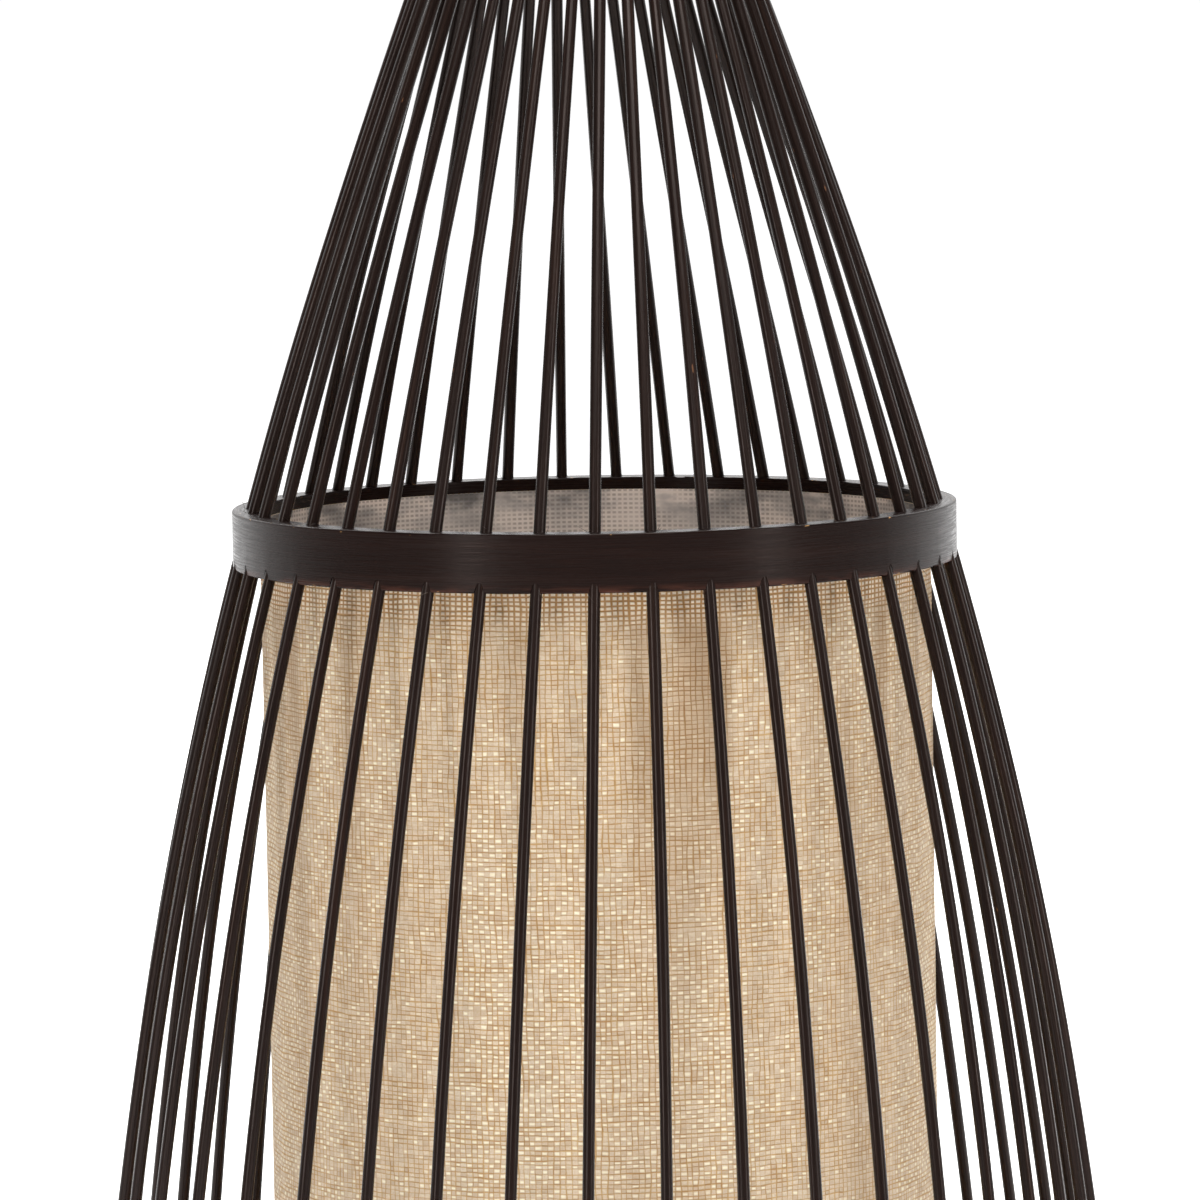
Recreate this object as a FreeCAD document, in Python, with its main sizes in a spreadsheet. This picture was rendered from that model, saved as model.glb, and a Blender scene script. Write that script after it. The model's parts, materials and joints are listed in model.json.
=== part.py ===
"""Bamboo cage lantern lamp: forty-one bent rods through three hoops, a linen drum shade and an E27 lamp."""
import FreeCAD, Part
import math
import os

import Sketcher
from FreeCAD import Placement, Rotation, Vector

# Driving sizes: millimetres and degrees. Z is measured up from the floor.
SIZES = {
    "rod_radius": 2.0,
    "rod_count": 41,
    "rod_lean": 1.5,
    "rod_bore_gap": 0.1,
    # control points of the bent rod's centreline, from the base hoop up
    "foot_r": 174.5,
    "foot_z": 9.0,
    "shin_r": 167.4,
    "shin_z": 73.0,
    "knee_r": 153.5,
    "knee_z": 202.0,
    "waist_r": 103.8,
    "waist_z": 396.0,
    "chest_r": 55.3,
    "chest_z": 525.0,
    "crown_r": 31.4,
    "crown_z": 590.0,
    # slow wander of the rods round the hoops: swing and phase of four waves
    "wander_one": 0.71,
    "wander_one_phase": -78.0,
    "wander_two": 1.05,
    "wander_two_phase": 52.0,
    "wander_three": 0.85,
    "wander_three_phase": 159.0,
    "wander_four": 0.68,
    "wander_four_phase": -49.0,
    # hoops
    "hoop_height": 19.0,
    "hoop_round": 0.6,
    "top_hoop_r": 39.0,
    "top_hoop_wall": 10.0,
    "top_hoop_z": 581.0,
    "mid_hoop_r": 120.5,
    "mid_hoop_wall": 9.0,
    "mid_hoop_z": 330.5,
    "base_hoop_r": 178.5,
    "base_hoop_wall": 9.0,
    "base_hoop_z": 0.0,
    "cord_notch_r": 3.5,
    "cord_notch_z": 3.5,
    # shade
    "shade_r": 111.4,
    "fabric_wall": 0.9,
    "liner_wall": 0.4,
    "shade_foot_z": 12.0,
    "shade_top_z": 345.2,
    # cross of slats inside the base hoop
    "slat_width": 24.0,
    "slat_z": 4.0,
    "slat_height": 8.0,
    "mortise_depth": 2.0,
    "mortise_gap": 0.1,
    # nipple and its nuts
    "nipple_r": 5.0,
    "nipple_bore_r": 3.75,
    "nipple_z": 1.2,
    "nipple_height": 24.0,
    "nipple_fit_gap": 0.05,
    "nut_radius": 8.0,
    "nut_height": 2.4,
    # lampholder, heights from the top of the slats
    "holder_r": 19.5,
    "holder_wall": 2.0,
    "cap_height": 18.0,
    "cap_crown_r": 16.5,
    "cap_crown_drop": 3.5,
    "spigot_r": 15.8,
    "spigot_depth": 6.0,
    "body_top": 50.0,
    "lip_r": 14.6,
    "lip_depth": 2.4,
    "insert_height": 5.0,
    "shell_r": 13.26,
    "shell_wall": 0.5,
    "shell_height": 23.0,
    "contact_r": 4.0,
    "contact_height": 3.0,
    # bulb, heights from the tip contact
    "bulb_seat_gap": 0.05,
    "tip_r": 4.6,
    "tip_height": 1.6,
    "insulator_low_r": 6.5,
    "insulator_high_r": 12.0,
    "insulator_cone": 3.4,
    "insulator_height": 5.4,
    "lamp_cap_r": 13.2,
    "lamp_cap_wall": 0.45,
    "lamp_cap_height": 19.0,
    "neck_r": 12.7,
    "neck_low": 18.0,
    "neck_high": 30.0,
    "flare_r": 25.5,
    "flare_high": 60.5,
    "globe_r": 30.0,
    "globe_high": 76.3,
    "glass_wall": 0.8,
    "stem_r": 3.0,
    "stem_height": 26.0,
    "wire_r": 0.35,
    "wire_foot_r": 1.6,
    "wire_elbow_r": 11.0,
    "wire_rise": 19.0,
}

PITCH = 360.0 / SIZES["rod_count"]
FRONT = -90.0
UP = Vector(0, 0, 1)
UPRIGHT = Rotation(Vector(1, 0, 0), 90)

doc = FreeCAD.newDocument("lantern_lamp")
sheet = doc.addObject("Spreadsheet::Sheet", "sizes")
parts = []


def fill_sheet():
    """Puts each driving size in a cell under its own name."""
    for row, (name, value) in enumerate(SIZES.items(), 1):
        sheet.set("A%d" % row, name)
        sheet.set("B%d" % row, str(value))
        sheet.setAlias("B%d" % row, name)
    doc.recompute()


def value(formula):
    """The number that a sum or difference of driving sizes and plain numbers gives."""
    total = 0.0
    sign = 1.0
    for word in formula.split():
        if word in ("+", "-"):
            sign = 1.0 if word == "+" else -1.0
        else:
            total += sign * (SIZES[word] if word in SIZES else float(word))
    return total


def bound(formula):
    """The same formula as an expression on the sheet."""
    words = []
    for word in formula.split():
        words.append("sizes." + word if word in SIZES else word)
    return " ".join(words)


def bind(obj, **formulas):
    """Binds the object's properties to formulas of driving sizes."""
    for name, formula in formulas.items():
        obj.setExpression(name, bound(formula))


def keep(obj, label):
    """Names a finished sub-part."""
    obj.Label = label
    parts.append(obj)
    return obj


def upright_sketch(owner, name):
    """A sketch in the XZ plane: its X is radius and its Y is height."""
    sketch = owner.newObject("Sketcher::SketchObject", name)
    planes = [f for f in owner.Origin.OriginFeatures if getattr(f, "Role", "") == "XZ_Plane"]
    sketch.AttachmentSupport = [(planes[0], "")]
    sketch.MapMode = "FlatFace"
    return sketch


def pin_point(sketch, geo, pos, corner):
    """Holds one point of the sketch at formulas for its radius and its height."""
    for kind, formula in zip(("DistanceX", "DistanceY"), corner):
        if abs(value(formula)) < 1e-9:
            axis = -2 if kind == "DistanceX" else -1
            sketch.addConstraint(Sketcher.Constraint("PointOnObject", geo, pos, axis))
        else:
            number = sketch.addConstraint(
                Sketcher.Constraint(kind, -1, 1, geo, pos, value(formula))
            )
            sketch.setExpression("Constraints[%d]" % number, bound(formula))


def outline(sketch, corners):
    """Draws a closed outline of straight lines with every corner bound to the sheet."""
    points = [Vector(value(r), value(z), 0) for r, z in corners]
    count = len(points)
    for i in range(count):
        sketch.addGeometry(Part.LineSegment(points[i], points[(i + 1) % count]), False)
    for i in range(count):
        sketch.addConstraint(Sketcher.Constraint("Coincident", i, 2, (i + 1) % count, 1))
        pin_point(sketch, i, 1, corners[i])


def turned(name, corners):
    """A body turned about the Z axis from an outline of (radius, height) corners."""
    body = doc.addObject("PartDesign::Body", name)
    sketch = upright_sketch(body, name + "_outline")
    outline(sketch, corners)
    doc.recompute()
    turn = body.newObject("PartDesign::Revolution", name + "_turn")
    turn.Profile = sketch
    turn.ReferenceAxis = (sketch, ["V_Axis"])
    turn.Angle = 360.0
    doc.recompute()
    return body


def ring(name, inner, outer, low, high):
    """A plain tube about the Z axis."""
    return turned(name, [(inner, low), (outer, low), (outer, high), (inner, high)])


def cylinder(name, radius, height, place=None, low=None):
    """A cylinder primitive with bound radius and height."""
    obj = doc.addObject("Part::Cylinder", name)
    bind(obj, Radius=radius, Height=height)
    if place is not None:
        obj.Placement = place
    if low is not None:
        obj.setExpression(".Placement.Base.z", bound(low))
    return obj


def cut(name, base, tools):
    """Base with every tool cut out of it."""
    if len(tools) > 1:
        tool = doc.addObject("Part::Compound", name + "_tools")
        tool.Links = tools
    else:
        tool = tools[0]
    obj = doc.addObject("Part::Cut", name)
    obj.Base = base
    obj.Tool = tool
    return obj


def fuse(name, shapes):
    """All the shapes joined into one solid."""
    obj = doc.addObject("Part::MultiFuse", name)
    obj.Shapes = shapes
    return obj


# ---- rods

def rod_line():
    """The bent centreline that every rod shares, as a spline through bound control points."""
    sketch = doc.addObject("Sketcher::SketchObject", "rod_line")
    sketch.Placement = Placement(Vector(), UPRIGHT)
    names = ("foot", "shin", "knee", "waist", "chest", "crown")
    poles = [Vector(SIZES[n + "_r"], SIZES[n + "_z"], 0) for n in names]
    curve = Part.BSplineCurve()
    curve.buildFromPolesMultsKnots(poles, [4, 1, 1, 4], [0, 1, 2, 3], False, 3)
    spline = sketch.addGeometry(curve, False)
    for i, name in enumerate(names):
        dot = sketch.addGeometry(Part.Circle(poles[i], UP, 1), True)
        sketch.addConstraint(
            Sketcher.Constraint("InternalAlignment:Sketcher::BSplineControlPoint", dot, 3, spline, i)
        )
        sketch.addConstraint(Sketcher.Constraint("Weight", dot, 1.0))
        pin_point(sketch, dot, 3, (name + "_r", name + "_z"))
    doc.recompute()
    return sketch


def rod_section(name, line, radius):
    """The rod's round section at the foot of its centreline, as four quarters of a circle."""
    section = doc.addObject("Sketcher::SketchObject", name)
    edge = line.Shape.Edges[0]
    foot = edge.FirstParameter
    section.Placement = Placement(edge.valueAt(foot), Rotation(UP, edge.tangentAt(foot)))
    circle = Part.Circle(Vector(), UP, value(radius))
    for i in range(4):
        section.addGeometry(Part.ArcOfCircle(circle, i * math.pi / 2, (i + 1) * math.pi / 2), False)
        section.addConstraint(Sketcher.Constraint("Coincident", i, 3, -1, 1))
    for i in range(4):
        section.addConstraint(Sketcher.Constraint("Coincident", i, 2, (i + 1) % 4, 1))
        section.addConstraint(Sketcher.Constraint("PointOnObject", i, 1, -1 - i % 2))
    size = section.addConstraint(Sketcher.Constraint("Radius", 0, value(radius)))
    section.setExpression("Constraints[%d]" % size, bound(radius))
    return section


def wander(number):
    """How far a hand-spaced rod sits from its even place, in degrees."""
    waves = ((1, "one"), (2, "two"), (3, "three"), (4, "four"))
    return sum(
        SIZES["wander_" + name]
        * math.sin(math.radians(PITCH * times * number + SIZES["wander_" + name + "_phase"]))
        for times, name in waves
    )


def rod_place(number):
    """Leans a rod about its point in the middle hoop and turns it to its azimuth."""
    offset = wander(number)
    middle = Vector(SIZES["mid_hoop_r"] - 4.0, 0, SIZES["mid_hoop_z"] + SIZES["hoop_height"] / 2)
    drift = SIZES["crown_r"] * math.radians(offset)
    rise = SIZES["crown_z"] - middle.z
    lean = SIZES["rod_lean"] - math.degrees(math.atan(drift / rise))
    tilt = Placement(Vector(), Rotation(Vector(1, 0, 0), -lean), middle)
    spin = Placement(Vector(), Rotation(UP, FRONT + PITCH * number + offset))
    return spin * tilt


def rods():
    """The bent rods, and the slightly wider bores that the hoops get for them."""
    line = rod_line()
    slim = rod_section("rod_section", line, "rod_radius")
    wide = rod_section("bore_section", line, "rod_radius + rod_bore_gap")
    doc.recompute()
    bores = []
    for number in range(SIZES["rod_count"]):
        place = rod_place(number)
        for section, stem in ((slim, "rod"), (wide, "bore")):
            sweep = doc.addObject("Part::Sweep", "%s_%02d" % (stem, number + 1))
            sweep.Sections = [section]
            sweep.Spine = (line, ["Edge1"])
            sweep.Solid = True
            sweep.Frenet = False
            sweep.Placement = place
            if stem == "rod":
                keep(sweep, "rod_%02d" % (number + 1))
            else:
                bores.append(sweep)
    return bores


# ---- hoops

def hoop_blank(name):
    """A hoop with its four edges eased, before any bore."""
    low = name + "_z"
    inner = name + "_r - " + name + "_wall"
    body = ring(name + "_blank", inner, name + "_r", low, low + " + hoop_height")
    ease = body.newObject("PartDesign::Fillet", name + "_ease")
    turn = body.Group[-2]
    circles = [
        "Edge%d" % (i + 1)
        for i, edge in enumerate(turn.Shape.Edges)
        if isinstance(edge.Curve, Part.Circle)
    ]
    ease.Base = (turn, circles)
    bind(ease, Radius="hoop_round")
    doc.recompute()
    return body


def slat_box(name, along_x, gap):
    """A slat's plain strip, or the room it needs when a gap is added all round."""
    box = doc.addObject("Part::Box", name)
    length = "base_hoop_r + base_hoop_r"
    width = "slat_width + " + gap + " + " + gap
    sides = (length, width) if along_x else (width, length)
    bind(box, Length=sides[0], Width=sides[1], Height="slat_height + " + gap + " + " + gap)
    box.setExpression(".Placement.Base.x", "-(" + bound(sides[0]) + ") / 2")
    box.setExpression(".Placement.Base.y", "-(" + bound(sides[1]) + ") / 2")
    box.setExpression(".Placement.Base.z", bound("slat_z - " + gap))
    return box


def mortises():
    """The four shallow pockets inside the base hoop that the slat ends are glued into."""
    reach = "base_hoop_r - base_hoop_wall + mortise_depth + mortise_gap"
    room = cylinder("mortise_reach", reach, "hoop_height")
    tools = []
    for name, along_x in (("mortise_across", True), ("mortise_along", False)):
        pocket = doc.addObject("Part::MultiCommon", name)
        pocket.Shapes = [room, slat_box(name + "_strip", along_x, "mortise_gap")]
        tools.append(pocket)
    return tools


def cord_notch():
    """A round-topped notch under the base hoop, at the back right, that lets a cord out."""
    place = Rotation(UP, 45.0)
    start = place.multVec(Vector(SIZES["base_hoop_r"] - 2 * SIZES["base_hoop_wall"], 0, 0))
    start.z = SIZES["cord_notch_z"]
    arch = cylinder("notch_arch", "cord_notch_r", "base_hoop_wall + base_hoop_wall + base_hoop_wall")
    arch.Placement = Placement(start, place * Rotation(UP, Vector(1, 0, 0)))
    slot = doc.addObject("Part::Box", "notch_slot")
    bind(
        slot,
        Length="base_hoop_wall + base_hoop_wall + base_hoop_wall",
        Width="cord_notch_r + cord_notch_r",
        Height="cord_notch_z + 1",
    )
    corner = start - place.multVec(Vector(0, SIZES["cord_notch_r"], 0))
    slot.Placement = Placement(Vector(corner.x, corner.y, -1.0), place)
    return fuse("cord_notch", [arch, slot])


def hoops(bores):
    """The three bored hoops."""
    keep(cut("top_hoop", hoop_blank("top_hoop"), bores), "top_hoop")
    keep(cut("mid_hoop", hoop_blank("mid_hoop"), bores), "mid_hoop")
    base_tools = bores + mortises() + [cord_notch()]
    keep(cut("base_hoop", hoop_blank("base_hoop"), base_tools), "base_hoop")


# ---- base cross and nipple

def slat(name, along_x, lap_low):
    """One slat with round ends, half lapped at the middle and bored for the nipple."""
    reach = "base_hoop_r - base_hoop_wall + mortise_depth"
    blank = cylinder(name + "_ends", reach, "slat_height", low="slat_z")
    lap = doc.addObject("Part::Box", name + "_lap")
    bind(lap, Length="slat_width", Width="slat_width", Height="slat_height / 2")
    lap.setExpression(".Placement.Base.x", bound("- slat_width / 2"))
    lap.setExpression(".Placement.Base.y", bound("- slat_width / 2"))
    lap.setExpression(".Placement.Base.z", bound(lap_low))
    trimmed = doc.addObject("Part::MultiCommon", name + "_trimmed")
    trimmed.Shapes = [blank, slat_box(name + "_strip", along_x, "0")]
    hole = cylinder(name + "_hole", "nipple_r + nipple_fit_gap", "slat_height", low="slat_z")
    keep(cut(name, trimmed, [lap, hole]), name)


def base_cross():
    """Two slats, half lapped where they cross."""
    slat("slat_across", True, "slat_z")
    slat("slat_along", False, "slat_z + slat_height / 2")


def nut(name, low):
    """A hexagon locknut on the nipple."""
    blank = doc.addObject("Part::Prism", name + "_blank")
    blank.Polygon = 6
    bind(blank, Circumradius="nut_radius", Height="nut_height")
    blank.setExpression(".Placement.Base.z", bound(low))
    hole = cylinder(name + "_hole", "nipple_r + nipple_fit_gap", "nut_height", low=low)
    return cut(name, blank, [hole])


def nipple():
    """The threaded tube that clamps the lampholder to the cross and takes the cord in."""
    low = "nipple_z"
    tube = ring("cord_nipple", "nipple_bore_r", "nipple_r", low, low + " + nipple_height")
    keep(tube, "cord_nipple")
    under = nut("nut_under", "slat_z - nut_height")
    inside = nut("nut_inside", "slat_z + slat_height + holder_wall")
    group = doc.addObject("Part::Compound", "nipple_nuts")
    group.Links = [under, inside]
    keep(group, "nipple_nuts")


# ---- lampholder

def lampholder():
    """Cap, body, insert, threaded shell and centre contact of an E27 holder."""
    seat = "slat_z + slat_height"
    split = seat + " + cap_height"
    shoulder = seat + " + cap_crown_drop"
    inner = "holder_r - holder_wall"
    keep(turned("holder_cap", [
        ("nipple_r + nipple_fit_gap", seat),
        ("cap_crown_r", seat),
        ("holder_r", shoulder),
        ("holder_r", split),
        (inner, split),
        (inner, shoulder + " + holder_wall"),
        ("cap_crown_r - holder_wall", seat + " + holder_wall"),
        ("nipple_r + nipple_fit_gap", seat + " + holder_wall"),
    ]), "holder_cap")
    top = seat + " + body_top"
    ledge = split + " + holder_wall"
    keep(turned("holder_body", [
        ("spigot_r", split + " - spigot_depth"),
        (inner + " - 0.1", split + " - spigot_depth"),
        (inner + " - 0.1", split),
        ("holder_r", split),
        ("holder_r", top + " - holder_wall"),
        ("holder_r - holder_wall", top),
        ("lip_r", top),
        ("lip_r", top + " - lip_depth"),
        (inner, top + " - lip_depth"),
        (inner, ledge),
        ("spigot_r", ledge),
    ]), "holder_body")
    board = ledge + " + insert_height"
    keep(turned("holder_insert", [
        ("0", ledge),
        (inner + " - 0.1", ledge),
        (inner + " - 0.1", board),
        ("0", board),
    ]), "holder_insert")
    keep(turned("holder_shell", [
        ("shell_r - 3.0", board),
        ("shell_r + shell_wall", board),
        ("shell_r + shell_wall", board + " + shell_height"),
        ("shell_r", board + " + shell_height"),
        ("shell_r", board + " + shell_wall"),
        ("shell_r - 3.0", board + " + shell_wall"),
    ]), "holder_shell")
    keep(turned("holder_contact", [
        ("0", board),
        ("contact_r", board),
        ("contact_r", board + " + contact_height - 0.8"),
        ("contact_r - 0.8", board + " + contact_height"),
        ("0", board + " + contact_height"),
    ]), "holder_contact")
    return board + " + contact_height"


# ---- bulb

def lifted(shape, low):
    """Raises a primitive by a bound height."""
    shape.setExpression(".Placement.Base.z", bound(low))
    return shape


def globe(name, shrink, seat):
    """Neck, flare and globe joined into the bulb's outline, shrunk by a wall."""
    neck = cylinder(name + "_neck", "neck_r - " + shrink, "neck_high - neck_low",
                    low=seat + " + neck_low")
    flare = doc.addObject("Part::Cone", name + "_flare")
    bind(
        flare,
        Radius1="neck_r - " + shrink,
        Radius2="flare_r - " + shrink,
        Height="flare_high - neck_high",
    )
    lifted(flare, seat + " + neck_high")
    ball = doc.addObject("Part::Sphere", name + "_ball")
    bind(ball, Radius="globe_r - " + shrink)
    lifted(ball, seat + " + globe_high")
    return fuse(name, [neck, flare, ball])


def bulb_glass(seat):
    """The blown globe with its glass stem sealed in."""
    shell = cut("glass_shell", globe("glass_outer", "0", seat),
                [globe("glass_inner", "glass_wall", seat)])
    floor = cylinder("glass_floor", "neck_r", "glass_wall", low=seat + " + neck_low")
    stem = cylinder("glass_stem", "stem_r", "stem_height", low=seat + " + neck_low")
    keep(fuse("bulb_glass", [shell, floor, stem]), "bulb_glass")


def bulb_filament(seat):
    """Lead wires and filament as one bent wire standing on the stem."""
    foot = seat + " + neck_low + stem_height"
    top = foot + " + wire_rise"
    corners = [("0 - wire_foot_r", foot), ("0 - wire_elbow_r", top), ("wire_elbow_r", top),
               ("wire_foot_r", foot)]
    sketch = doc.addObject("Sketcher::SketchObject", "wire_line")
    sketch.Placement = Placement(Vector(), UPRIGHT)
    points = [Vector(value(r), value(z), 0) for r, z in corners]
    for i in range(3):
        sketch.addGeometry(Part.LineSegment(points[i], points[i + 1]), False)
        pin_point(sketch, i, 1, corners[i])
        if i:
            sketch.addConstraint(Sketcher.Constraint("Coincident", i - 1, 2, i, 1))
    pin_point(sketch, 2, 2, corners[3])
    doc.recompute()
    section = doc.addObject("Part::Circle", "wire_section")
    bind(section, Radius="wire_r")
    heading = UPRIGHT.multVec(points[1] - points[0])
    section.Placement = Placement(UPRIGHT.multVec(points[0]), Rotation(UP, heading))
    wire = doc.addObject("Part::Sweep", "bulb_filament")
    wire.Sections = [section]
    wire.Spine = (sketch, ["Edge1", "Edge2", "Edge3"])
    wire.Solid = True
    wire.Transition = "Round corner"
    wire.Placement = Placement(Vector(0, 0, SIZES["wire_r"]), Rotation())
    keep(wire, "bulb_filament")


def bulb(contact_top):
    """Tip contact, insulator, lamp cap, glass and filament of an E27 bulb."""
    seat = contact_top + " + bulb_seat_gap"
    insulator_low = seat + " + tip_height"
    cone_top = insulator_low + " + insulator_cone"
    insulator_top = seat + " + tip_height + insulator_height"
    keep(turned("bulb_tip", [
        ("0", seat),
        ("tip_r - 1.4", seat),
        ("tip_r", seat + " + 0.7"),
        ("tip_r", insulator_low),
        ("0", insulator_low),
    ]), "bulb_tip")
    inner = "lamp_cap_r - lamp_cap_wall"
    keep(turned("bulb_insulator", [
        ("0", insulator_low),
        ("insulator_low_r", insulator_low),
        ("insulator_high_r", cone_top),
        (inner, cone_top),
        (inner, insulator_top),
        ("0", insulator_top),
    ]), "bulb_insulator")
    keep(turned("bulb_cap", [
        (inner, cone_top),
        ("lamp_cap_r - 0.1", cone_top),
        ("lamp_cap_r", cone_top + " + 0.5"),
        ("lamp_cap_r", cone_top + " + lamp_cap_height"),
        (inner, cone_top + " + lamp_cap_height"),
    ]), "bulb_cap")
    bulb_glass(seat)
    bulb_filament(seat)


def shade():
    """Linen drum with a clear plastic liner glued inside it."""
    back = "shade_r - fabric_wall"
    keep(ring("shade_fabric", back, "shade_r", "shade_foot_z", "shade_top_z"), "shade_fabric")
    inside = back + " - liner_wall"
    keep(ring("shade_liner", inside, back, "shade_foot_z", "shade_top_z"), "shade_liner")


def check_all():
    """Stops on any object in error and any finished shape that isn't sound."""
    for obj in doc.Objects:
        if "Invalid" in obj.State or "Error" in obj.State:
            raise RuntimeError("bad state: " + obj.Label)
    for obj in parts:
        if obj.Shape.isNull() or not obj.Shape.isValid() or not obj.Shape.Solids:
            raise RuntimeError("bad shape: " + obj.Label)


fill_sheet()
rod_bores = rods()
hoops(rod_bores)
base_cross()
shade()
nipple()
bulb(lampholder())
doc.recompute()
check_all()
os.makedirs("parts", exist_ok=True)
for part in parts:
    part.Shape.exportStep("parts/" + part.Label + ".step")
    print(part.Label, len(part.Shape.Solids), round(part.Shape.Volume, 1), part.Shape.BoundBox)
print(len(parts), "parts")
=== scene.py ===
import json
import math
import random

import bpy
import numpy as np
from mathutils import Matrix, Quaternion, Vector


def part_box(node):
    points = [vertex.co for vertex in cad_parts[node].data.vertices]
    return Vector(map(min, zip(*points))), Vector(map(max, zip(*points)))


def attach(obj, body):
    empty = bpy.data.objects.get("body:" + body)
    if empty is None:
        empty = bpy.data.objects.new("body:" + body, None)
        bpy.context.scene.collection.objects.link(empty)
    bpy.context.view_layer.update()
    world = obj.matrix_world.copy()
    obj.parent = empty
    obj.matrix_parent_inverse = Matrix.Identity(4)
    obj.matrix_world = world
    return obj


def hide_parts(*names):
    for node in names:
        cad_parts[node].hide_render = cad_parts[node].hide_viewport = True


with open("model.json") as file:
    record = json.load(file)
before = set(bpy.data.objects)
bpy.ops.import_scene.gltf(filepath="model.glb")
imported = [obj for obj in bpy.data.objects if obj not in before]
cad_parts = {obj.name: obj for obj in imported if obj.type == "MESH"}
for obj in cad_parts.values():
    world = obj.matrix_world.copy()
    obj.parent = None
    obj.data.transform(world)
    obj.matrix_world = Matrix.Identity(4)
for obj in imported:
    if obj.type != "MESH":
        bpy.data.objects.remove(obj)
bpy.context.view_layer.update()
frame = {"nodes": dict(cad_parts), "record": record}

MM = 0.001
PI2 = 2 * math.pi
ROD = 2.0 * MM
rng = np.random.default_rng(38)
CAGE = next(b for b, nodes in frame["record"]["behaviour"]["bodies"].items() if "mid_hoop" in nodes)
RODS = sorted(n for n in frame["nodes"] if n.startswith("rod_"))


# ---- materials

SHEEN = (1.0, 0.86, 0.80, 1.0)

class Paint:
    """Builds one node material: short names for the nodes that the finishes share."""

    def __init__(self, name, **values):
        self.mat = bpy.data.materials.new(name)
        self.mat.use_nodes = True
        self.tree = self.mat.node_tree
        self.shader = self.tree.nodes["Principled BSDF"]
        self.out = self.tree.nodes["Material Output"]
        for key, value in values.items():
            self.shader.inputs[key.replace("_", " ")].default_value = value

    def node(self, kind, **props):
        made = self.tree.nodes.new(kind)
        for key, value in props.items():
            setattr(made, key, value)
        return made

    def link(self, value, socket):
        if hasattr(value, "is_output"):
            self.tree.links.new(value, socket)
        else:
            socket.default_value = value

    def where(self):
        """Object coordinates."""
        return self.node("ShaderNodeTexCoord").outputs["Object"]

    def stored(self, name):
        """A vector that the mesh stores at its points."""
        return self.node("ShaderNodeAttribute", attribute_name=name).outputs["Vector"]

    def math(self, op, a, b=0.0, c=0.0, clamp=False):
        n = self.node("ShaderNodeMath", operation=op, use_clamp=clamp)
        for value, socket in zip((a, b, c), n.inputs):
            self.link(value, socket)
        return n.outputs[0]

    def split(self, vector):
        n = self.node("ShaderNodeSeparateXYZ")
        self.link(vector, n.inputs[0])
        return n.outputs

    def join(self, x, y, z):
        n = self.node("ShaderNodeCombineXYZ")
        for value, socket in zip((x, y, z), n.inputs):
            self.link(value, socket)
        return n.outputs[0]

    def scaled(self, vector, scale):
        n = self.node("ShaderNodeVectorMath", operation="MULTIPLY")
        self.link(vector, n.inputs[0])
        n.inputs[1].default_value = scale
        return n.outputs[0]

    def noise(self, vector, scale=1.0, detail=3.0, rough=0.5):
        n = self.node("ShaderNodeTexNoise")
        self.link(vector, n.inputs["Vector"])
        n.inputs["Scale"].default_value = scale
        n.inputs["Detail"].default_value = detail
        n.inputs["Roughness"].default_value = rough
        return n.outputs[0]

    def span(self, value, low, high, to_low=0.0, to_high=1.0, smooth=False):
        """Takes low..high to to_low..to_high, clamped."""
        n = self.node("ShaderNodeMapRange", interpolation_type="SMOOTHSTEP" if smooth else "LINEAR")
        for v, socket in zip((value, low, high, to_low, to_high), n.inputs):
            self.link(v, socket)
        return n.outputs[0]

    def blend(self, share, a, b):
        """Colour a where share is 0 and b where it is 1."""
        n = self.node("ShaderNodeMix", data_type="RGBA")
        self.link(share, n.inputs[0])
        for value, socket in ((a, n.inputs[6]), (b, n.inputs[7])):
            self.link(value if hasattr(value, "is_output") else (*value, 1.0), socket)
        return n.outputs[2]

    def colour(self, value):
        tone = value if hasattr(value, "is_output") else (*value, 1.0)
        self.link(tone, self.shader.inputs["Base Color"])
        return self

    def rough(self, value):
        self.link(value, self.shader.inputs["Roughness"])
        return self

    def bump(self, height, distance, strength=1.0):
        n = self.node("ShaderNodeBump")
        n.inputs["Strength"].default_value = strength
        n.inputs["Distance"].default_value = distance
        self.link(height, n.inputs["Height"])
        self.link(n.outputs[0], self.shader.inputs["Normal"])
        return self

    def through(self, share, tint):
        """Lets a share of the light through from behind, diffused."""
        lit = self.node("ShaderNodeBsdfTranslucent")
        self.link(tint if hasattr(tint, "is_output") else (*tint, 1.0), lit.inputs["Color"])
        mix = self.node("ShaderNodeMixShader")
        self.link(share, mix.inputs[0])
        self.tree.links.new(self.shader.outputs[0], mix.inputs[1])
        self.tree.links.new(lit.outputs[0], mix.inputs[2])
        self.tree.links.new(mix.outputs[0], self.out.inputs["Surface"])
        return self


def stained_bamboo():
    """Dark stained stick: fine fibres along it, sheen that comes and goes, small worn spots."""
    p = Paint("stained_bamboo", Specular_IOR_Level=0.19)
    p.shader.inputs["Specular Tint"].default_value = SHEEN
    at = p.stored("stick")
    fibres = p.noise(p.scaled(at, (1500, 1500, 30)), detail=4.0, rough=0.65)
    broad = p.noise(p.scaled(at, (420, 420, 9)), detail=2.0)
    base = p.blend(p.span(fibres, 0.36, 0.68), (0.0062, 0.0034, 0.0028), (0.0160, 0.0096, 0.0080))
    base = p.blend(p.span(broad, 0.55, 0.8, 0.0, 0.5), base, (0.030, 0.0155, 0.011))
    worn = p.noise(p.scaled(at, (600, 600, 130)), detail=2.0)
    base = p.blend(p.span(worn, 0.765, 0.80), base, (0.11, 0.05, 0.025))
    p.colour(base)
    p.rough(p.span(p.math("ADD", fibres, p.math("MULTIPLY", broad, 0.5)), 0.6, 0.85, 0.32, 0.17))
    return p.bump(p.math("ADD", fibres, p.math("MULTIPLY", broad, 1.6)), 0.00005, 0.8).mat


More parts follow.
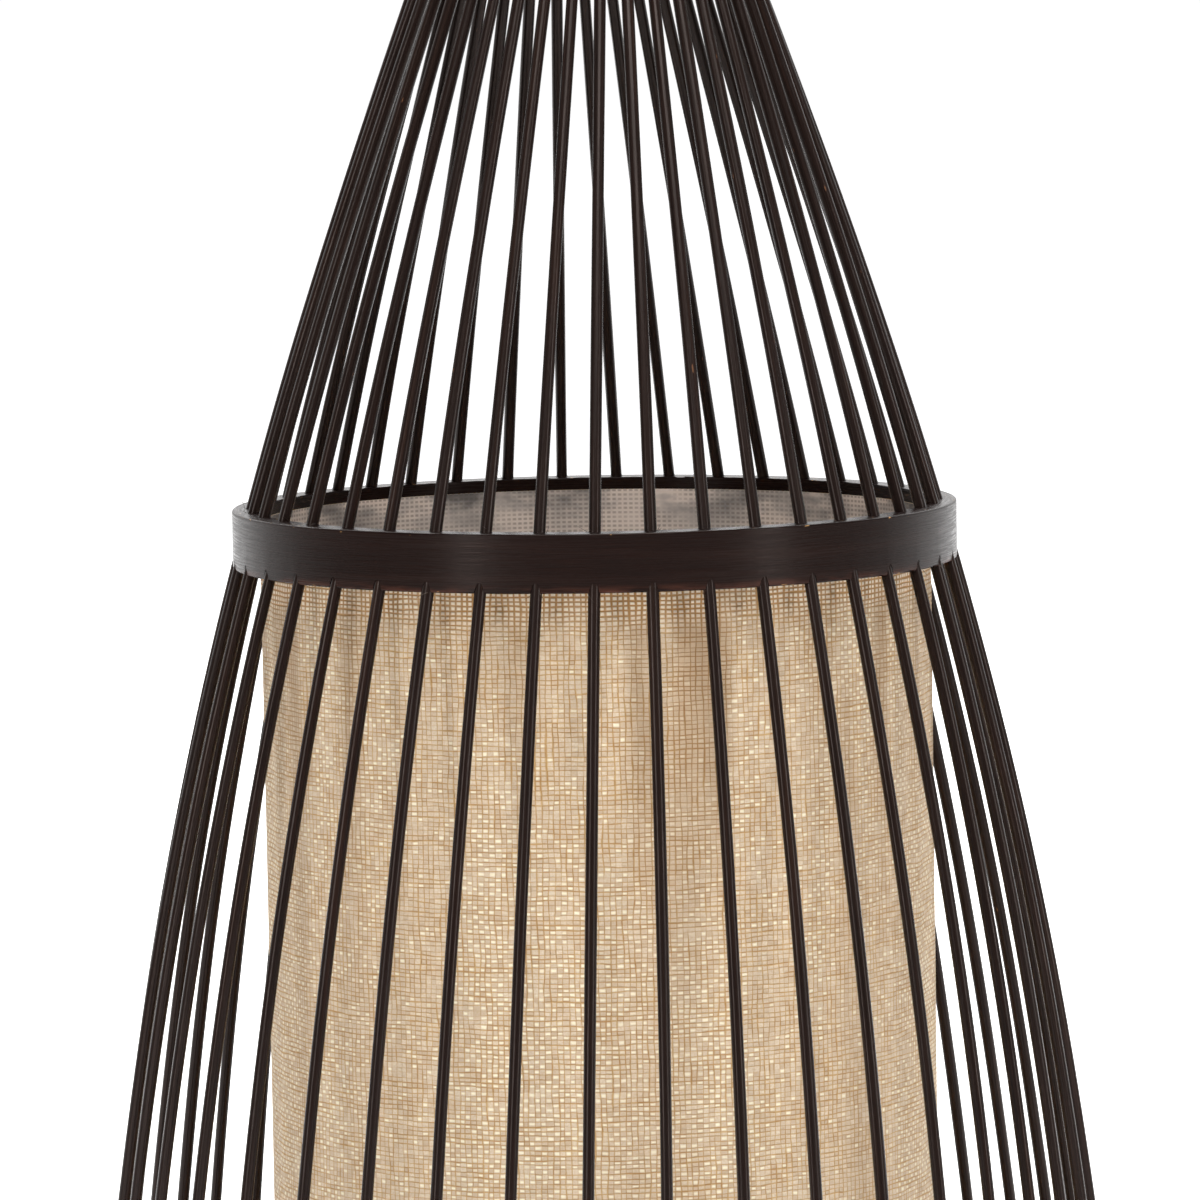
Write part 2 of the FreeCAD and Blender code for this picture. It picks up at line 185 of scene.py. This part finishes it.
def around(p, radius):
    """(distance round from the front, radius, height) of a hoop's surface, in metres."""
    x, y, z = p.split(p.where())
    angle = p.math("ARCTAN2", x, p.math("MULTIPLY", y, -1.0))
    reach = p.math("SQRT", p.math("ADD", p.math("MULTIPLY", x, x), p.math("MULTIPLY", y, y)))
    return p.math("MULTIPLY", angle, radius), reach, z


def stained_hoop(node):
    """Dark glossy bent wood: grain round the hoop, a rubbed reddish foot and a few bare chips."""
    low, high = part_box(node)
    radius = (high[0] - low[0]) / 2
    p = Paint("stained_" + node, Specular_IOR_Level=0.13)
    p.shader.inputs["Specular Tint"].default_value = SHEEN
    run, reach, z = around(p, radius)
    at = p.join(run, reach, z)
    grain = p.noise(p.scaled(at, (45, 2100, 2100)), detail=3.0, rough=0.65)
    broad = p.noise(p.scaled(at, (9, 260, 260)), detail=2.0)
    base = p.blend(p.span(grain, 0.35, 0.7), (0.0040, 0.0014, 0.0011), (0.0092, 0.0038, 0.0029))
    base = p.blend(p.span(broad, 0.5, 0.85, 0.0, 0.5), base, (0.018, 0.0085, 0.0066))
    foot = p.span(z, low[2] + 0.0032, low[2], 0.0, 1.0, smooth=True)
    patchy = p.span(p.noise(p.scaled(at, (60, 400, 400)), detail=3.0), 0.42, 0.66)
    base = p.blend(p.math("MULTIPLY", p.math("MULTIPLY", foot, patchy), 0.7), base, (0.068, 0.024, 0.015))
    edge = p.math("ABSOLUTE", p.math("SUBTRACT", z, (low[2] + high[2]) / 2))
    half = (high[2] - low[2]) / 2
    rim = p.span(edge, half - 0.0011, half - 0.0002)
    chips = p.noise(p.scaled(at, (230, 900, 900)), detail=3.0, rough=0.6)
    base = p.blend(p.math("MULTIPLY", rim, p.span(chips, 0.68, 0.71)), base, (0.42, 0.23, 0.09))
    p.colour(base)
    streak = p.span(grain, 0.46, 0.64)
    p.rough(p.span(streak, 0.0, 1.0, 0.32, 0.12))
    return p.bump(p.math("ADD", grain, p.math("MULTIPLY", broad, 0.9)), 0.00004, 0.8).mat


def stained_slat(along_x):
    """Dark stained slat: grain along it and scuffed edges."""
    p = Paint("stained_slat_" + ("x" if along_x else "y"), Specular_IOR_Level=0.4)
    scale = (18, 700, 900) if along_x else (700, 18, 900)
    grain = p.noise(p.scaled(p.where(), scale), detail=4.0, rough=0.65)
    scuffs = p.noise(p.where(), 170.0, detail=3.0)
    base = p.blend(p.span(grain, 0.33, 0.7), (0.012, 0.0075, 0.006), (0.036, 0.022, 0.016))
    base = p.blend(p.span(scuffs, 0.66, 0.72, 0.0, 0.7), base, (0.10, 0.055, 0.03))
    p.colour(base).rough(p.span(grain, 0.3, 0.7, 0.42, 0.62))
    return p.bump(grain, 0.0002, 0.6).mat


# thread spacings of the linen
WARP = 1.95 * MM
WEFT = 1.55 * MM


def linen():
    """Open plain weave: pale yarns, golden gaps between them, slubs, painted highlights on raised weft
    floats and painted shade under the hoop.
    """
    p = Paint("linen", Specular_IOR_Level=0.18)
    p.shader.inputs["Sheen Weight"].default_value = 0.10
    u, v, w = p.split(p.stored("cloth"))

    def patch(along_u, along_v, seed, detail=1.0):
        at = p.join(p.math("MULTIPLY", u, along_u), p.math("MULTIPLY", v, along_v), seed)
        return p.noise(at, detail=detail)

    def by_yarn(along_a, along_b, seed, detail=0.0):
        at = p.join(p.math("MULTIPLY", ia, along_a), p.math("MULTIPLY", ib, along_b), seed)
        return p.noise(at, detail=detail)

    # yarn numbers and how far a point is from the middle of its yarn, with the yarns swaying
    a = p.math("ADD", p.math("DIVIDE", u, WARP), p.span(patch(240, 55, 0.0, 2.0), 0, 1, -0.55, 0.55))
    b = p.math("ADD", p.math("DIVIDE", v, WEFT), p.span(patch(55, 240, 7.0, 2.0), 0, 1, -0.6, 0.6))
    ia, ib = p.math("FLOOR", a), p.math("FLOOR", b)
    fa = p.math("ABSOLUTE", p.math("SUBTRACT", p.math("SUBTRACT", a, ia), 0.5))
    fb = p.math("ABSOLUTE", p.math("SUBTRACT", p.math("SUBTRACT", b, ib), 0.5))
    over = p.math("MODULO", p.math("ADD", p.math("ABSOLUTE", ia), p.math("ABSOLUTE", ib)), 2.0)

    # a gap line is as wide as the yarns beside it leave it, and fades out here and there
    upright = p.noise(p.join(p.math("MULTIPLY", ia, 7.31), p.math("MULTIPLY", v, 60), 1.0), detail=1.0)
    level = p.noise(p.join(p.math("MULTIPLY", u, 60), p.math("MULTIPLY", ib, 7.31), 5.0), detail=1.0)
    line_a = p.span(fa, p.span(upright, 0.34, 0.66, 0.48, 0.26), 0.5)
    line_b = p.span(fb, p.span(level, 0.34, 0.66, 0.48, 0.24), 0.5)
    line = p.math("MAXIMUM", line_a, line_b)

    tuft = by_yarn(3.7, 5.3, 2.0)
    speck = patch(1500, 1500, 0.0, 2.0)
    body = p.blend(p.span(tuft, 0.3, 0.7), (0.67, 0.535, 0.385), (0.81, 0.70, 0.55))
    body = p.blend(p.span(speck, 0.35, 0.7, 0.0, 0.4), body, (0.62, 0.42, 0.215))
    gold = p.blend(p.span(tuft, 0.35, 0.65), (0.50, 0.255, 0.060), (0.66, 0.42, 0.15))
    base = p.blend(line, body, gold)

    # painted highlight: weft floats that lie proud are painted near white, in bands where the weave is
    # slack
    crown = p.math("MULTIPLY", p.span(fb, 0.36, 0.12), p.math("MULTIPLY", p.span(fa, 0.5, 0.25), over))
    slack = p.span(patch(26, 4, 11.0, 2.0), 0.40, 0.60, 0.0, 1.0, smooth=True)
    float_highlight = p.math("ADD", by_yarn(0.9, 11.7, 3.0, 1.0), p.math("MULTIPLY", slack, 0.18))
    float_highlight = p.span(float_highlight, 0.58, 0.64)
    # near-white painted highlight on the chosen floats
    base = p.blend(p.math("MULTIPLY", p.math("MULTIPLY", crown, float_highlight), 0.9), base, (1.0, 0.93, 0.72))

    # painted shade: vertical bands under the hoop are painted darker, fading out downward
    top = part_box("shade_fabric")[1][2]
    hoop_shade_fade = p.span(w, top - 0.16, top - 0.012, 0.25, 1.0, smooth=True)
    painted_band_shade = p.math("MULTIPLY", p.span(patch(46, 2.5, 21.0, 1.0), 0.46, 0.66, 0.0, 0.85, smooth=True), hoop_shade_fade)
    base = p.blend(painted_band_shade, base, p.blend(line, (0.50, 0.35, 0.215), (0.27, 0.12, 0.028)))
    # painted shade and light: just under the hoop the yarns are painted dark and the gaps painted bright,
    # as if lit from behind
    backlit_shade_band = p.span(w, top - 0.030, top - 0.019, 0.0, 0.85, smooth=True)
    backlit_shade_band = p.math("MULTIPLY", backlit_shade_band, p.span(patch(70, 25, 31.0), 0.3, 0.6, 0.5, 1.0))
    yarn = p.math("MAXIMUM", p.span(fa, 0.24, 0.37), p.span(fb, 0.22, 0.35))
    base = p.blend(backlit_shade_band, base, p.blend(yarn, (1.0, 0.90, 0.74), (0.57, 0.32, 0.12)))
    p.colour(base)
    p.rough(p.span(speck, 0.3, 0.7, 0.72, 0.92))
    height = p.math("ADD", p.math("MULTIPLY", crown, 0.7), p.math("MULTIPLY", tuft, 0.5))
    height = p.math("SUBTRACT", height, line)
    p.bump(p.math("ADD", height, p.math("MULTIPLY", speck, 0.35)), 0.00026, 0.6)
    return p.through(p.span(line, 0.0, 1.0, 0.30, 0.45), base).mat


def liner_film():
    """Translucent lampshade film with faint painted shade spots where the linen's yarns block light from
    behind, and dark painted reflections near the top.
    """
    p = Paint("liner_film", Specular_IOR_Level=0.4)
    u, v, w = p.split(p.stored("cloth"))
    across = p.math("FRACT", p.math("DIVIDE", u, WARP))
    upward = p.math("FRACT", p.math("DIVIDE", v, WEFT))
    fa = p.math("ABSOLUTE", p.math("SUBTRACT", across, 0.5))
    fb = p.math("ABSOLUTE", p.math("SUBTRACT", upward, 0.5))
    # painted shade: darker spots where the linen's yarns would block the light from behind the film
    yarn_shade_spots = p.math("MULTIPLY", p.span(fa, 0.44, 0.20), p.span(fb, 0.36, 0.14))
    show = p.noise(p.join(p.math("MULTIPLY", u, 40), p.math("MULTIPLY", v, 60), 0.0))
    show = p.span(show, 0.30, 0.50)
    reflection_and_gloss = p.join(p.math("MULTIPLY", u, 30), p.math("MULTIPLY", v, 60), 3.0)
    reflection_and_gloss = p.noise(reflection_and_gloss, detail=4.0, rough=0.6)
    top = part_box("shade_liner")[1][2]
    near_top = p.span(w, top - 0.020, top - 0.001, 0.0, 1.0, smooth=True)
    shown = p.math("MULTIPLY", p.math("MULTIPLY", yarn_shade_spots, show), 0.8)
    base = p.blend(shown, (0.97, 0.885, 0.81), (0.50, 0.42, 0.36))
    # painted reflection: dark blurred patches near the top stand in for the rods and hoop mirrored in the
    # film
    dark = p.math("MULTIPLY", near_top, p.span(reflection_and_gloss, 0.42, 0.62, 0.0, 0.9))
    base = p.blend(dark, base, (0.15, 0.14, 0.135))
    p.colour(base)
    p.rough(p.span(reflection_and_gloss, 0.3, 0.7, 0.30, 0.45))
    p.bump(reflection_and_gloss, 0.0002, 0.3)
    return p.through(0.45, base).mat


def moulded(name, tone, roughness, mottling=0.12, grain=900.0, **more):
    """A hard finish: faint mottling, uneven gloss and a fine skin."""
    p = Paint(name, **more)
    broad = p.noise(p.where(), 90.0, detail=3.0)
    fine = p.noise(p.where(), grain, detail=2.0)
    dark = tuple(c * (1 - mottling) for c in tone)
    light = tuple(min(c * (1 + mottling), 1.0) for c in tone)
    p.colour(p.blend(p.span(broad, 0.3, 0.7), dark, light))
    uneven = p.math("ADD", p.math("MULTIPLY", broad, 0.5), p.math("MULTIPLY", fine, 0.5))
    p.rough(p.span(uneven, 0.3, 0.7, roughness * 0.75, roughness * 1.3))
    return p.bump(fine, 0.00005, 0.35).mat


# ---- meshes

def piece(name, verts, faces, material, body=CAGE, stored=None, smooth=True):
    """Makes a mesh piece that rides on a body."""
    mesh = bpy.data.meshes.new(name)
    mesh.from_pydata([tuple(v) for v in verts], [], [tuple(f) for f in faces])
    mesh.validate()
    if stored:
        for key, values in stored.items():
            mesh.attributes.new(key, "FLOAT_VECTOR", "POINT").data.foreach_set(
                "vector", np.asarray(values, np.float32).ravel()
            )
    mesh.materials.append(material)
    if smooth:
        mesh.polygons.foreach_set("use_smooth", [True] * len(mesh.polygons))
        mesh.set_sharp_from_angle(angle=math.radians(50))
    obj = bpy.data.objects.new(name, mesh)
    bpy.context.collection.objects.link(obj)
    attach(obj, body)
    return obj


def grid_faces(rows, cols, start=0, closed=True, flip=False):
    """Quads over rows of cols points, round again at the end when closed."""
    made = []
    for r in range(rows - 1):
        for c in range(cols if closed else cols - 1):
            d = (c + 1) % cols
            low = start + r * cols
            high = low + cols
            quad = [low + c, low + d, high + d, high + c]
            made.append(quad[::-1] if flip else quad)
    return made


def rod_centres(node, count):
    """The rod's centre at heights up its length, from where each level cuts the CAD mesh."""
    mesh = frame["nodes"][node].data
    co = np.empty(len(mesh.vertices) * 3)
    mesh.vertices.foreach_get("co", co)
    co = co.reshape(-1, 3)
    ends = np.empty(len(mesh.edges) * 2, int)
    mesh.edges.foreach_get("vertices", ends)
    a, b = co[ends[0::2]], co[ends[1::2]]
    low, high = co[:, 2].min(), co[:, 2].max()
    centres = []
    for z in np.linspace(low + 1.2 * MM, high - 2.2 * MM, count):
        cut = (a[:, 2] - z) * (b[:, 2] - z) < 0
        t = (z - a[cut, 2]) / (b[cut, 2] - a[cut, 2])
        hit = a[cut] + (b[cut] - a[cut]) * t[:, None]
        centres.append((*((hit[:, :2].min(0) + hit[:, :2].max(0)) / 2), z))
    return np.array(centres)


def smoothed(line, passes=3):
    """Evens out a line of points, ends kept."""
    line = line.copy()
    for _ in range(passes):
        line[1:-1] = (line[:-2] + 2 * line[1:-1] + line[2:]) / 4
    return line


def rod_piece(node, material):
    """One bamboo stick: not quite round, with shallow ridges and a slow change of thickness."""
    line = smoothed(rod_centres(node, 96))
    # run the ends out to where the CAD rod ends
    line[0] += (line[0] - line[1]) / np.linalg.norm(line[0] - line[1]) * 0.9 * MM
    line[-1] += (line[-1] - line[-2]) / np.linalg.norm(line[-1] - line[-2]) * 1.4 * MM
    sides = 20
    turn = np.linspace(0, PI2, sides, endpoint=False)
    steps = np.diff(line, axis=0)
    along = np.concatenate([[0], np.cumsum(np.linalg.norm(steps, axis=1))])
    tangents = np.gradient(line, axis=0)
    tangents /= np.linalg.norm(tangents, axis=1)[:, None]
    phases = rng.uniform(0, PI2, 6)
    slow = 0.02 * np.sin(along * 17 + phases[0])
    quick = 0.012 * np.sin(along * 61 + phases[1])
    thick = ROD * (0.985 + slow + quick)
    verts, stored = [], []
    offset = rng.uniform(0, 5, 3)
    for point, tangent, radius, s in zip(line, tangents, thick, along):
        out = np.array([point[0], point[1], 0.0])
        out -= tangent * out.dot(tangent)
        out /= np.linalg.norm(out)
        side = np.cross(tangent, out)
        oval = 0.022 * np.cos(2 * turn + phases[2] + s * 6)
        flats = 0.010 * np.cos(5 * turn + phases[3])
        ridges = 0.007 * np.cos(9 * turn + phases[4] + s * 4)
        shape = 1 + oval + flats + ridges
        for t, k in zip(turn, shape):
            x, y = math.cos(t), math.sin(t)
            verts.append(point + (out * x + side * y) * min(radius * k, 1.04 * ROD))
            stored.append((x * radius + offset[0], y * radius + offset[1], s + offset[2]))
    faces = grid_faces(len(line), sides)
    last = len(verts) - sides
    faces += [list(range(sides))[::-1], list(range(last, last + sides))]
    obj = piece("stick_" + node[-2:], verts, faces, material, stored={"stick": stored})
    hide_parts(node)
    return obj


def drum(name, node, material, cols, rows, thick, waves):
    """A closed thin drum whose face moves in and out by waves(angle, height share)."""
    low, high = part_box(node)
    outer = (high[0] - low[0]) / 2
    angles = np.linspace(0, PI2, cols, endpoint=False) + math.pi / 2
    shares = np.linspace(0, 1, rows)
    verts, stored = [], []
    for depth in (0.0, thick):
        for share in shares:
            z = low[2] + (high[2] - low[2]) * share
            r = outer - depth + waves(angles, share)
            verts += list(np.stack([r * np.cos(angles), r * np.sin(angles), np.full(cols, z)], 1))
            stored += [((a - math.pi / 2) * outer, z, z) for a in angles]
    face_rows = rows * cols
    faces = grid_faces(rows, cols) + grid_faces(rows, cols, face_rows, flip=True)
    for c in range(cols):
        d = (c + 1) % cols
        faces.append([d, c, face_rows + c, face_rows + d])
        t = face_rows - cols
        faces.append([t + c, t + d, face_rows + t + d, face_rows + t + c])
    obj = piece(name, verts, faces, material, stored={"cloth": stored})
    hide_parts(node)
    return obj, PI2 * outer, high[2] - low[2]


def cloth_waves(angles, share):
    """Slack folds that start under the hoop and fade out on the way down."""
    fall = 0.25 + 0.75 * share ** 2
    pin = 1 - min(max((share - 0.93) / 0.05, 0), 1)
    wave = 0.42 * np.sin(angles * 31 + 0.8 * np.sin(angles * 4))
    wave = wave + 0.30 * np.sin(angles * 17 + 2.1 + share)
    wave = wave + 0.22 * np.sin(angles * 53 + 1.3)
    slow = 0.25 * np.sin(angles * 5 + 0.6)
    return (np.maximum(wave, -0.4) * fall * 0.9 + slow + 0.12) * pin * MM - 0.05 * MM


def fibres(name, starts, material):
    """Thin torn fibres: tapered three-sided hairs from each (point, direction, length)."""
    verts, faces = [], []
    for point, direction, length in starts:
        point = np.array(point, float)
        direction = np.array(direction, float) / np.linalg.norm(direction)
        side = np.cross(direction, rng.normal(size=3))
        side /= np.linalg.norm(side)
        bend = side * length * rng.uniform(-0.25, 0.25)
        across = np.cross(direction, side)
        base = len(verts)
        for step in range(5):
            t = step / 4
            centre = point + direction * length * t + bend * t * t
            radius = 0.11 * MM * (1 - 0.8 * t)
            for k in range(3):
                a = PI2 * k / 3
                verts.append(centre + (side * math.cos(a) + across * math.sin(a)) * radius)
        faces += grid_faces(5, 3, base)
        faces += [[base + 2, base + 1, base], [base + 12, base + 13, base + 14]]
    obj = piece(name, verts, faces, material)
    return obj


# ---- the object

bamboo = stained_bamboo()
for node in RODS:
    rod_piece(node, bamboo)

for node in ("top_hoop", "mid_hoop", "base_hoop"):
    frame["nodes"][node].data.materials.clear()
    frame["nodes"][node].data.materials.append(stained_hoop(node))
for node, along_x in (("slat_across", True), ("slat_along", False)):
    frame["nodes"][node].data.materials.clear()
    frame["nodes"][node].data.materials.append(stained_slat(along_x))

cloth, round_length, drop = drum(
    "linen_drum", "shade_fabric", linen(), 400, 100, 0.5 * MM, cloth_waves
)
drum("liner_drum", "shade_liner", liner_film(), 240, 24, 0.3 * MM, lambda a, s: 0.0 * a)

FINISHES = {
    "cord_nipple": moulded("zinc_tube", (0.60, 0.58, 0.52), 0.30, Metallic=1.0),
    "nipple_nuts": moulded("zinc_nut", (0.58, 0.57, 0.54), 0.32, Metallic=1.0),
    "holder_cap": moulded("black_cap", (0.016, 0.016, 0.017), 0.38),
    "holder_body": moulded("black_body", (0.017, 0.017, 0.018), 0.36),
    "holder_insert": moulded("porcelain", (0.78, 0.76, 0.71), 0.22, mottling=0.05),
    "holder_shell": moulded("brass_shell", (0.72, 0.52, 0.22), 0.28, Metallic=1.0),
    "holder_contact": moulded("brass_contact", (0.74, 0.54, 0.24), 0.30, Metallic=1.0),
    "bulb_tip": moulded("solder_tip", (0.50, 0.50, 0.49), 0.36, Metallic=1.0),
    "bulb_insulator": moulded("black_glass", (0.010, 0.010, 0.012), 0.14),
    "bulb_cap": moulded("nickel_shell", (0.66, 0.64, 0.60), 0.26, Metallic=1.0),
    "bulb_glass": moulded(
        "clear_glass", (0.97, 0.97, 0.96), 0.03, mottling=0.01, Transmission_Weight=1.0, IOR=1.45
    ),
    "bulb_filament": moulded("tungsten", (0.30, 0.29, 0.28), 0.45, Metallic=1.0),
}
for node, material in FINISHES.items():
    mesh = frame["nodes"][node].data
    mesh.materials.clear()
    mesh.materials.append(material)

# torn fibres where the rods go through the middle hoop
hoop_low, hoop_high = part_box("mid_hoop")
starts = []
for node in RODS:
    line = rod_centres(node, 240)
    for level, sign in ((hoop_low[2], -1), (hoop_high[2], 1)):
        at = line[np.argmin(abs(line[:, 2] - level))]
        for _ in range(rng.integers(0, 3)):
            turn = rng.uniform(0, PI2)
            out = np.array([math.cos(turn), math.sin(turn)]) * 1.1 * ROD
            foot = (at[0] + out[0], at[1] + out[1], level - sign * 0.2 * MM)
            lean = (rng.normal() * 0.9, rng.normal() * 0.9, sign * rng.uniform(0.4, 1.2))
            starts.append((foot, lean, rng.uniform(2.0, 6.5) * MM))
torn = moulded("torn_fibre", (0.045, 0.028, 0.018), 0.6)
fibres("torn_fibres", starts, torn)

# ---- stage: floor, light and camera

def stage_floor():
    p = Paint("pale_floor", Specular_IOR_Level=0.0, Roughness=1.0)
    p.colour(p.blend(p.noise(p.where(), 1.5), (0.90, 0.90, 0.90), (0.93, 0.93, 0.93)))
    depth = p.split(p.where())[1]
    glow = p.span(depth, 0.3, 2.5, 0.0, 0.75, smooth=True)
    p.link(p.join(glow, glow, glow), p.shader.inputs["Emission Color"])
    p.shader.inputs["Emission Strength"].default_value = 1.0
    mesh = bpy.data.meshes.new("floor")
    half = 18.0
    corners = [(-half, -half, 0), (half, -half, 0), (half, half, 0), (-half, half, 0)]
    mesh.from_pydata(corners, [], [(0, 1, 2, 3)])
    mesh.materials.append(p.mat)
    obj = bpy.data.objects.new("floor", mesh)
    bpy.context.collection.objects.link(obj)


def world_light():
    """A white studio: bright behind the object and dimmer in front."""
    world = bpy.data.worlds.new("studio")
    world.use_nodes = True
    tree = world.node_tree
    back = tree.nodes["Background"]
    where = tree.nodes.new("ShaderNodeTexCoord")
    parts = tree.nodes.new("ShaderNodeSeparateXYZ")
    tree.links.new(where.outputs["Generated"], parts.inputs[0])
    span = tree.nodes.new("ShaderNodeMapRange")
    for value, socket in zip((-0.2, 0.6, 0.04, 1.02), list(span.inputs)[1:5]):
        socket.default_value = value
    tree.links.new(parts.outputs["Y"], span.inputs[0])
    tree.links.new(span.outputs[0], back.inputs["Strength"])
    back.inputs["Color"].default_value = (1, 1, 1, 1)
    bpy.context.scene.world = world


def softbox(name, azimuth, height, distance, size, watts, aim=0.33):
    """An area light round the object from the front, aimed at it."""
    data = bpy.data.lights.new(name, "AREA")
    data.shape = "RECTANGLE"
    data.size, data.size_y = size
    data.energy = watts
    obj = bpy.data.objects.new(name, data)
    bpy.context.collection.objects.link(obj)
    a = math.radians(azimuth)
    place = Vector((math.sin(a) * distance, -math.cos(a) * distance, height))
    obj.location = place
    obj.rotation_mode = "QUATERNION"
    obj.rotation_quaternion = (Vector((0, 0, aim)) - place).to_track_quat("-Z", "Y")


def photo_camera():
    """A long lens a little above the middle hoop, level but for a slight roll."""
    middle = (hoop_low[2] + hoop_high[2]) / 2
    target = Vector((0.0014, 0, middle - 0.0230))
    rise = math.radians(5.43)
    distance = 2.41
    back = Vector((0, -math.cos(rise), math.sin(rise)))
    data = bpy.data.cameras.new("camera")
    data.sensor_width = 36.0
    data.lens = 36.0 * distance / 0.4
    obj = bpy.data.objects.new("camera", data)
    bpy.context.collection.objects.link(obj)
    obj.location = target + back * distance
    obj.rotation_mode = "QUATERNION"
    level = (-back).to_track_quat("-Z", "Y")
    obj.rotation_quaternion = level @ Quaternion((0, 0, 1), math.radians(-0.95))
    bpy.context.scene.camera = obj


stage_floor()
world_light()
softbox("key_left", -38, 0.75, 2.2, (0.42, 1.1), 12)
softbox("key_right", 55, 0.75, 2.2, (0.42, 1.1), 12)
softbox("front_fill", 5, 2.9, 1.7, (2.2, 2.2), 118)
softbox("back_fill", 180, 2.6, 1.9, (2.0, 2.0), 150)
photo_camera()
bpy.context.scene.view_settings.view_transform = "Standard"
